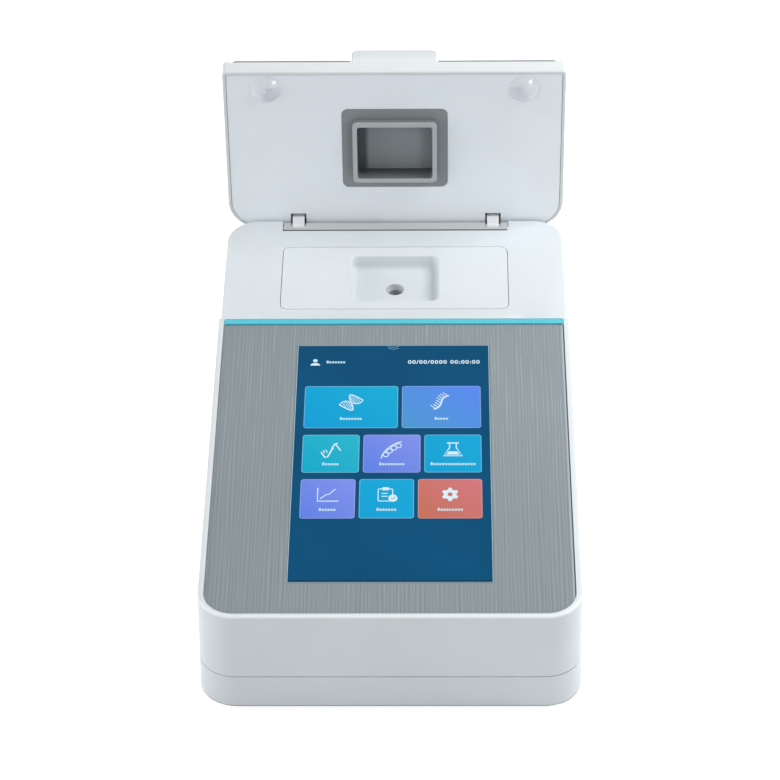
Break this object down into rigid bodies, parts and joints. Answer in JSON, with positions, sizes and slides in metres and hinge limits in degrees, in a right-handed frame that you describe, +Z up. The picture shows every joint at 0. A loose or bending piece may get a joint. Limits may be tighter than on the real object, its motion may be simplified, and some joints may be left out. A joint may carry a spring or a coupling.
{
  "type": "benchtop fluorometer",
  "caption": "Compact benchtop fluorometer: sloped touch-screen panel, a recessed sample deck with a tube well, and a hinged light-tight lid standing open.",
  "frame": {"origin": "on the bench, under the middle of the overall box with the lid standing open", "axes": "+X to the user's right, +Y from the front to the back, +Z up"},
  "size_m": [0.1606, 0.3028, 0.1331],
  "materials": {
    "casing_white": "fine moulded texture, satin",
    "lid_white": "fine moulded texture, satin",
    "deck_white": "smooth satin",
    "liner_grey": "smooth satin",
    "brushed_sheet": "brushed from front to back, clear anodised",
    "accent_cyan": "translucent gloss",
    "screen_glass": "touch glass over a lit display",
    "display_dark": "matt black",
    "bracket_steel": "zinc plated sheet",
    "screw_steel": "zinc plated",
    "pin_steel": "ground",
    "holder_metal": "anodised",
    "block_black": "black anodised",
    "filter_blue": "coloured filter glass",
    "filter_orange": "coloured filter glass",
    "light_board": "white solder mask",
    "board_green": "solder mask",
    "jack_black": "moulded",
    "port_metal": "plated sheet",
    "switch_black": "moulded",
    "rocker_black": "moulded",
    "hinge_grey": "smooth satin",
    "arm_grey": "satin",
    "foot_rubber": "matt",
    "bumper_rubber": "soft matt",
    "seal_grey": "soft matt",
    "magnet_metal": "nickel plated"
  },
  "bodies": {
    "housing": {"base_tray": "casing_white", "upper_housing": "casing_white", "rubber_feet": "foot_rubber", "housing_screws": "screw_steel", "front_panel": "brushed_sheet", "accent_strip": "accent_cyan", "touch_glass": "screen_glass", "lcd_module": "display_dark", "display_bracket": "bracket_steel", "display_screws": "screw_steel", "deck_plate": "deck_white", "tube_holder": "holder_metal", "optical_block": "block_black", "optics_screws": "screw_steel", "excitation_filters": "filter_blue", "emission_filter": "filter_orange", "blue_light_source": "light_board", "red_light_source": "light_board", "detector_board": "board_green", "main_board": "board_green", "board_screws": "screw_steel", "io_board": "board_green", "lid_sensor": "board_green", "power_jack": "jack_black", "usb_port": "port_metal", "switch_frame": "switch_black", "hinge_bar": "hinge_grey", "hinge_pins": "pin_steel", "friction_washers": "pin_steel"},
    "lid": {"hinge_arms": "arm_grey", "leaf_screws": "screw_steel", "lid_shell": "lid_white", "lid_top_panel": "brushed_sheet", "lid_inner_cover": "liner_grey", "lid_screws": "screw_steel", "lid_bumpers": "bumper_rubber", "light_shield": "seal_grey", "lid_magnet": "magnet_metal"},
    "rocker": {"switch_rocker": "rocker_black"}
  },
  "joints": [
    {"name": "lid_hinge", "type": "hinge", "parent": "housing", "child": "lid", "pos_m": [0, 0.13056, 0.04592], "axis": [-1, 0, 0], "range_deg": [-89, 11]},
    {"name": "power_switch", "type": "hinge", "parent": "housing", "child": "rocker", "pos_m": [-0.044, 0.13162, 0.03002], "axis": [0, 0, -1], "range_deg": [0, 18]}
  ]
}
